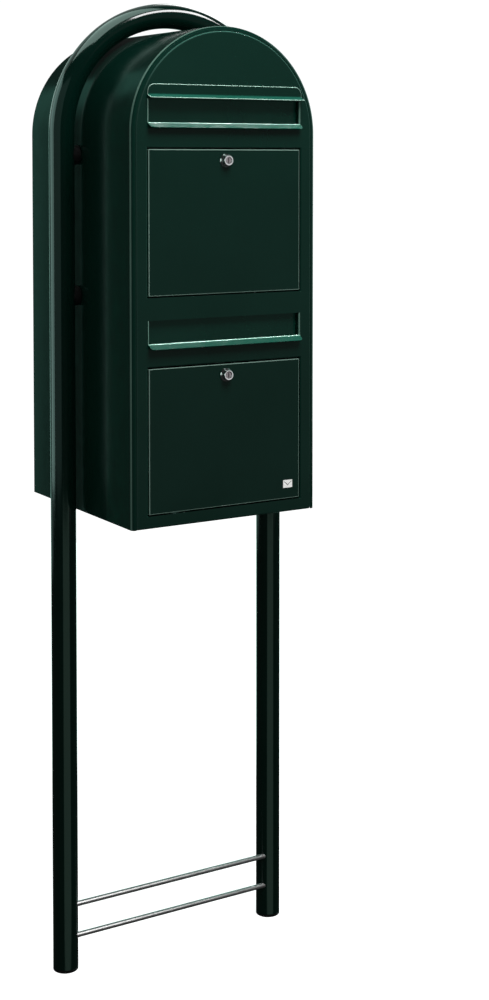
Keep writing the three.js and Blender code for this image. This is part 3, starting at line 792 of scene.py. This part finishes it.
def lock_barrel(level):
    """Nose, rosette and body in one, bored out behind a narrower mouth."""
    low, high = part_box(f"{level}_lock_barrel")
    centre = (low + high) / 2
    origin = Vector((centre.x, FACE_Y, centre.z))
    nose, rosette = FACE_Y - low.y, high.x - centre.x
    length = high.y - FACE_Y
    step = MOUTH_DEPTH - nose
    profile = rounded_profile([
        (MOUTH_RADIUS, step), (MOUTH_RADIUS + 0.4 * MM, -nose + 0.25 * MM),
        (MOUTH_RADIUS + 1.6 * MM, -nose), (NOSE_RADIUS - 0.6 * MM, -nose + 0.1 * MM),
        (NOSE_RADIUS, step), (NOSE_RADIUS, -2.3 * MM),
        (rosette - 0.9 * MM, -1.7 * MM), (rosette, -0.8 * MM), (rosette, -FIT),
        (BARREL_RADIUS, -FIT), (BARREL_RADIUS, length),
        (BORE_RADIUS, length), (BORE_RADIUS, step), (MOUTH_RADIUS, step),
    ], radius=0.35 * MM)
    name = f"{level}_barrel"
    obj = as_object(name, turned(name, origin, INWARDS, profile, segments=72))
    add_modifiers(obj, edge=0)
    fit_out(obj, f"{level}_door", [f"{level}_lock_barrel"], "chrome", chrome)


def key_cutter(place):
    """A block that cuts the keyway, centred on the front end of the plug."""
    block = bmesh.new()
    bmesh.ops.create_cube(block, size=1)
    bmesh.ops.scale(block, vec=KEYWAY, verts=block.verts)
    bmesh.ops.translate(block, vec=place, verts=block.verts)
    mesh = bpy.data.meshes.new("keyway")
    block.to_mesh(mesh)
    block.free()
    tool = bpy.data.objects.new("keyway", mesh)
    bpy.context.scene.collection.objects.link(tool)
    return tool


def lock_plug(level):
    """The turning plug, with its keyway and the tail that carries the cam."""
    low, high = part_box(f"{level}_lock_plug")
    centre = (low + high) / 2
    origin = Vector((centre.x, low.y, centre.z))
    length = high.y - low.y
    tail = length - PLUG_TAIL
    radius = high.x - centre.x
    profile = rounded_profile([
        (0, PLUG_SETBACK), (radius, PLUG_SETBACK),
        (radius, tail), (PLUG_TAIL_RADIUS, tail), (PLUG_TAIL_RADIUS, length), (0, length),
    ], radius=0.3 * MM)
    name = f"{level}_plug"
    obj = as_object(name, turned(name, origin, INWARDS, profile, segments=48))
    subtract(obj, [key_cutter(origin)])
    add_modifiers(obj, edge=0.12 * MM, edge_angle=60)
    fit_out(obj, f"{level}_lock", [f"{level}_lock_plug"], "chrome", plug_metal)


def lock_hardware(level):
    """Nut, cam and screw behind the door."""
    for name, node, body, edge in (
        (f"{level}_nut", f"{level}_lock_nut", f"{level}_door", 0.5 * MM),
        (f"{level}_cam", f"{level}_lock_cam", f"{level}_lock", 0.35 * MM),
        (f"{level}_screw", f"{level}_cam_screw", f"{level}_lock", 0.3 * MM),
    ):
        fit_out(refined(name, node, edge), body, [node], "zinc_steel", zinc)


# ---------------------------------------------------------------- the stand

def stand_path():
    """The stand's middle line with the direction of travel at each point."""
    points = []
    for i in range(LEG_STEPS + 1):
        points.append((Vector((-LEG_X, 0, LEG_FOOT + (ARCH_Z - LEG_FOOT) * i / LEG_STEPS)), UP))
    for i in range(1, ARC_STEPS):
        angle = math.pi * (1 - i / ARC_STEPS)
        points.append((Vector((LEG_X * math.cos(angle), 0, ARCH_Z + LEG_X * math.sin(angle))),
                       Vector((math.sin(angle), 0, -math.cos(angle)))))
    for i in range(LEG_STEPS + 1):
        points.append((Vector((LEG_X, 0, ARCH_Z + (LEG_FOOT - ARCH_Z) * i / LEG_STEPS)), -UP))
    return points


def tube_ring(centre, travel, radius):
    """Points round the tube's middle line, where it travels in the given direction."""
    across = travel.cross(INWARDS)
    turn = 2 * math.pi / TUBE_SEGMENTS
    return [centre + radius * (math.cos(turn * j) * across + math.sin(turn * j) * INWARDS)
            for j in range(TUBE_SEGMENTS)]


def stand_tube():
    """The bent tube with its wall, its two cut ends slightly chamfered."""
    path = stand_path()
    start, up = path[0]
    end, down = path[-1]
    outside = [tube_ring(start, up, TUBE_R - TUBE_EDGE), tube_ring(start + up * TUBE_EDGE, up, TUBE_R)]
    outside += [tube_ring(centre, travel, TUBE_R) for centre, travel in path[1:-1]]
    outside += [tube_ring(end - down * TUBE_EDGE, down, TUBE_R), tube_ring(end, down, TUBE_R - TUBE_EDGE)]
    inside = [tube_ring(centre, travel, TUBE_R - TUBE_WALL) for centre, travel in path]
    rings = outside + inside[::-1] + [outside[0]]
    obj = as_object("stand_pipe", loft("stand_pipe", rings, capped=False))
    fit_out(obj, "frame", ["stand_tube"], "tube_paint", tube_paint)


def end_cap(side):
    """A pressed-in foot cap: a flange on the ground and a plug up the tube."""
    node = f"{side}_end_cap"
    low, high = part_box(node)
    origin = Vector(((low.x + high.x) / 2, 0, low.z))
    radius = (high.x - low.x) / 2
    plug = radius - CAP_PLUG_INSET
    profile = rounded_profile([
        (0, CAP_DISH), (radius - 5 * MM, CAP_DISH), (radius - 4 * MM, 0), (radius, 0),
        (radius, CAP_FLANGE), (plug, CAP_FLANGE), (plug, CAP_PLUG_END - 2 * MM),
        (plug - 2 * MM, CAP_PLUG_END), (0, CAP_PLUG_END),
    ], radius=1.2 * MM)
    name = f"{side}_foot_cap"
    obj = as_object(name, turned(name, origin, UP, profile))
    fit_out(obj, "frame", [node], "black_plastic", black_plastic)


def ground_rod(level):
    """A plain drawn rod across the legs."""
    node = f"{level}_ground_rod"
    low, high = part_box(node)
    origin = Vector((low.x, (low.y + high.y) / 2, (low.z + high.z) / 2))
    radius, length = (high.z - low.z) / 2, high.x - low.x
    profile = rounded_profile([(0, 0), (radius, 0), (radius, length), (0, length)], radius=0.6 * MM)
    name = f"{level}_tie_rod"
    obj = as_object(name, turned(name, origin, ACROSS, profile, segments=40))
    fit_out(obj, "frame", [node], "galvanised_rod", drawn_steel)


def spacer(level, side):
    """A plastic disc between box and tube, saddled to the tube."""
    node = f"{level}_{side}_spacer"
    low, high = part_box(node)
    sign = -1 if side == "left" else 1
    near = BOX_R + FIT
    height = (low.z + high.z) / 2
    radius = (high.z - low.z) / 2
    saddle = TUBE_R + FIT
    turn = 2 * math.pi / SPACER_SEGMENTS
    # Each ring's radius and its distance from the box, or None where it lies on the tube
    shape = [
        (SPACER_BORE, 0), (radius - 2.2 * MM, 0), (radius - 1.2 * MM, 0.35 * MM),
        (radius - 0.4 * MM, 1.2 * MM), (radius, 2.4 * MM), (radius, None), (radius * 0.8, None),
        (radius * 0.6, None), (SPACER_BORE, None), (SPACER_BORE, 0),
    ]
    rings = []
    for r, along in shape:
        ring = []
        for j in range(SPACER_SEGMENTS):
            y, z = r * math.cos(turn * j), r * math.sin(turn * j)
            x = near + along if along is not None else LEG_X - math.sqrt(saddle ** 2 - y ** 2)
            ring.append(Vector((sign * x, y, height + z)))
        rings.append(ring)
    name = f"{level}_{side}_saddle"
    obj = as_object(name, loft(name, rings, capped=False))
    fit_out(obj, "frame", [node], "black_plastic", black_plastic)


def fixing(level, side):
    """Bolt, washer and threaded insert of one fixing."""
    for part in ("bolt", "washer", "insert"):
        node = f"{level}_{side}_{part}"
        obj = refined(f"{level}_{side}_m8_{part}", node, 0.3 * MM)
        fit_out(obj, "frame", [node], "zinc_steel", zinc)


def envelope_sign():
    """A plain white envelope, raised on the lower door."""
    sign = refined("envelope_sign", "envelope_badge", 0.08 * MM)
    fit_out(sign, "lower_door", ["envelope_badge"], "white_foil", white_film)


body_wrap()
front_panel()
rain_visor()
back_panel()
floor_tray("floor_sheet", "bottom_plate", folds_up=True)
floor_tray("shelf_sheet", "divider_shelf", folds_up=False, notch=SHELF_NOTCH)
for level in ("upper", "lower"):
    door(level)
    flap(level)
    flap_rod(level)
    lock_barrel(level)
    lock_plug(level)
    lock_hardware(level)
    ground_rod(level)
    for side in ("left", "right"):
        hinge_pin(level, side)
        spacer(level, side)
        fixing(level, side)
stand_tube()
for side in ("left", "right"):
    end_cap(side)
envelope_sign()


# ---------------------------------------------------------------- stage, light and camera

def stage_floor():
    """A pale floor with a glow of its own, so that it looks as white as the room round it."""
    material, tree, shader = new_material("studio_floor")
    tree.links.new(colour_between(tree, noise(tree, 2, 2), (0.86, 0.86, 0.86), (0.88, 0.88, 0.88)),
                   shader.inputs["Base Color"])
    shader.inputs["Roughness"].default_value = 0.9
    shader.inputs["Emission Color"].default_value = (1, 1, 1, 1)
    shader.inputs["Emission Strength"].default_value = 0.90
    mesh = bpy.data.meshes.new("studio_floor")
    half = 30
    corners = [(-half, -half, 0), (half, -half, 0), (half, half, 0), (-half, half, 0)]
    mesh.from_pydata(corners, [], [(0, 1, 2, 3)])
    mesh.materials.append(material)
    obj = bpy.data.objects.new("studio_floor", mesh)
    bpy.context.scene.collection.objects.link(obj)
    obj.visible_glossy = False
    obj.visible_diffuse = False
    obj.visible_shadow = False


def softbox(name, place, target, size, watts, tint=(1, 1, 1), only=(), matt=True, gloss=True,
            shadows=False):
    """An area light. One kept to named pieces casts no shadows unless told to."""
    lamp = bpy.data.lights.new(name, "AREA")
    lamp.shape = "RECTANGLE"
    lamp.size, lamp.size_y = size
    lamp.energy = watts
    lamp.color = tint
    obj = bpy.data.objects.new(name, lamp)
    bpy.context.scene.collection.objects.link(obj)
    obj.location = place
    obj.rotation_euler = (Vector(target) - Vector(place)).to_track_quat("-Z", "Y").to_euler()
    obj.visible_camera = False
    obj.visible_diffuse = matt
    obj.visible_glossy = gloss
    if only:
        receivers = bpy.data.collections.new(f"{name}_receivers")
        for piece in only:
            receivers.objects.link(bpy.data.objects[piece])
        obj.light_linking.receiver_collection = receivers
        lamp.use_shadow = shadows


def studio_world():
    """White to the camera, dimmer to light the object, and dark in its gloss."""
    world = bpy.data.worlds.new("studio")
    bpy.context.scene.world = world
    world.use_nodes = True
    tree = world.node_tree
    tree.nodes.clear()
    path = tree.nodes.new("ShaderNodeLightPath")
    seen, lit, mirrored = (tree.nodes.new("ShaderNodeBackground") for _ in range(3))
    for background, strength in ((seen, 1.05), (lit, 0.22), (mirrored, 0.02)):
        background.inputs["Color"].default_value = (1, 1, 1, 1)
        background.inputs["Strength"].default_value = strength
    glossy = tree.nodes.new("ShaderNodeMixShader")
    camera = tree.nodes.new("ShaderNodeMixShader")
    output = tree.nodes.new("ShaderNodeOutputWorld")
    tree.links.new(path.outputs["Is Glossy Ray"], glossy.inputs["Fac"])
    tree.links.new(lit.outputs["Background"], glossy.inputs[1])
    tree.links.new(mirrored.outputs["Background"], glossy.inputs[2])
    tree.links.new(path.outputs["Is Camera Ray"], camera.inputs["Fac"])
    tree.links.new(glossy.outputs["Shader"], camera.inputs[1])
    tree.links.new(seen.outputs["Background"], camera.inputs[2])
    tree.links.new(camera.outputs["Shader"], output.inputs["Surface"])


CAMERA_PLACE = Vector((-1.253, -2.268, 1.224))
CAMERA_YAW = math.radians(31.5)
CAMERA_PITCH = math.radians(2.72)
CAMERA_LENS = 60.5
CAMERA_SENSOR = 36
CAMERA_SHIFT = -0.26


def place_camera():
    """Looks at the front from its left, slightly from above."""
    data = bpy.data.cameras.new("camera")
    data.lens = CAMERA_LENS
    data.sensor_width = CAMERA_SENSOR
    data.shift_y = CAMERA_SHIFT
    obj = bpy.data.objects.new("camera", data)
    bpy.context.scene.collection.objects.link(obj)
    obj.location = CAMERA_PLACE
    obj.rotation_euler = (math.pi / 2 - CAMERA_PITCH, 0, -CAMERA_YAW)
    bpy.context.scene.camera = obj


stage_floor()
studio_world()

# The pieces that some lamps are kept to
LIPPED = ("front_sheet", "visor_sheet")
FLAPS = ("upper_flap_sheet", "lower_flap_sheet")
LOCKS = ("upper_barrel", "lower_barrel", "upper_plug", "lower_plug")
STAND = ("stand_pipe",)
INSIDE = ("back_sheet", "shelf_sheet", "floor_sheet")
RODS = ("upper_tie_rod", "lower_tie_rod")

# Where lamps point
FACE = (0, -0.17, 1.1)
LIPS = (0, -0.17, 1.2)
ARCH = (0, 0, 1.4)
LEFT_TUBE = (-0.18, 0, 1.2)

WHITE = (1, 1, 1)
PALE_TEAL = (0.8, 1, 0.92)
TEAL = (0.6, 1, 0.9)

# Front, slots and inside
softbox("front_key", (0.05, -0.95, 2.35), (0, 0, 1.2), (0.8, 0.8), 21, gloss=False)
softbox("front_haze", (1.75, -3.0, 1.2), FACE, (2.0, 2.6), 1.2)
softbox("flap_fill", (0.1, -2.4, 1.9), FACE, (0.8, 0.8), 10, only=FLAPS, gloss=False)
softbox("lip_glow", (0.6, -0.08, 3.1), LIPS, (0.3, 0.1), 235, only=LIPPED, gloss=False)
softbox("lip_sheen", (1.34, 1.31, 2.85), LIPS, (0.4, 0.3), 105, only=("front_sheet",), matt=False)
softbox("visor_sheen", (1.34, 1.31, 2.85), LIPS, (0.6, 0.6), 9, only=("visor_sheet",), matt=False)
softbox("inside_fill", (0.0, -2.6, 1.35), (0, 0, 1.0), (1.0, 1.0), 25, only=INSIDE, gloss=False,
        shadows=True)

# Locks and sign
softbox("lock_card", (1.5, -2.7, 1.3), FACE, (2.4, 2.4), 12, only=LOCKS)
softbox("lock_side", (-2.4, -1.3, 1.5), FACE, (1.0, 1.6), 9, PALE_TEAL, only=LOCKS, matt=False)
softbox("lock_top", (0.2, -0.1, 3.0), FACE, (1.4, 1.2), 12, PALE_TEAL, only=LOCKS, matt=False)
softbox("sign_fill", (0.3, -2.4, 1.0), (0.107, -0.17, 0.74), (0.6, 0.6), 20,
        only=("envelope_sign",), gloss=False)

# Highlights along the stand: name, place, target, size, watts, tint
for lamp in (
    ("arch_card", (-0.3, -0.15, 3.0), ARCH, (2.2, 1.5), 38, (0.7, 1, 0.9)),
    ("arch_streak", (0.96, -1.1, 2.76), ARCH, (1.4, 0.5), 45, WHITE),
    ("arch_rear", (0.1, 1.4, 2.5), (0, 0, 1.3), (3.5, 2.9), 17, (0.8, 1, 0.93)),
    ("arch_flash", (1.7, 1.5, 3.0), ARCH, (1.2, 1.2), 27, WHITE),
    ("tube_rear", (-0.9, 1.6, 1.3), LEFT_TUBE, (1.8, 2.3), 3.2, TEAL),
    ("tube_card", (-1.85, 1.1, 1.45), LEFT_TUBE, (1.6, 2.3), 24, TEAL),
    ("tube_side", (-2.0, -0.75, 1.45), LEFT_TUBE, (2.4, 2.3), 5, TEAL),
    ("leg_card", (-0.28, -2.8, -0.67), (0, 0, 0.1), (3.3, 1.5), 6.5, (0.6, 1, 0.8)),
):
    softbox(*lamp, only=STAND, matt=False)

# Sides, ground rods and back
softbox("rear_card", (-0.385, 0.8, 1.35), (-0.155, 0.1, 1.05), (0.18, 2.2), 0.34, (0.3, 1, 0.78),
        matt=False)
softbox("side_card", (-0.62, 0.8, 1.35), (-0.155, -0.1, 1.05), (0.04, 2.2), 0.04, (0.05, 1, 0.6),
        matt=False)
softbox("rod_card", (-0.3, -1.3, 1.5), (0, 0, 0.08), (2.2, 1.2), 30, only=RODS, matt=False)
softbox("right_key", (2.2, 0.2, 1.6), (0.1, 0, 1.1), (2.4, 2.4), 16, (0.6, 1, 0.88))
softbox("back_key", (1.2, 2.6, 0.55), (0, 0.1, 1.0), (2.6, 2.6), 20, (0.5, 1, 0.85))

place_camera()
bpy.context.scene.view_settings.view_transform = "Standard"
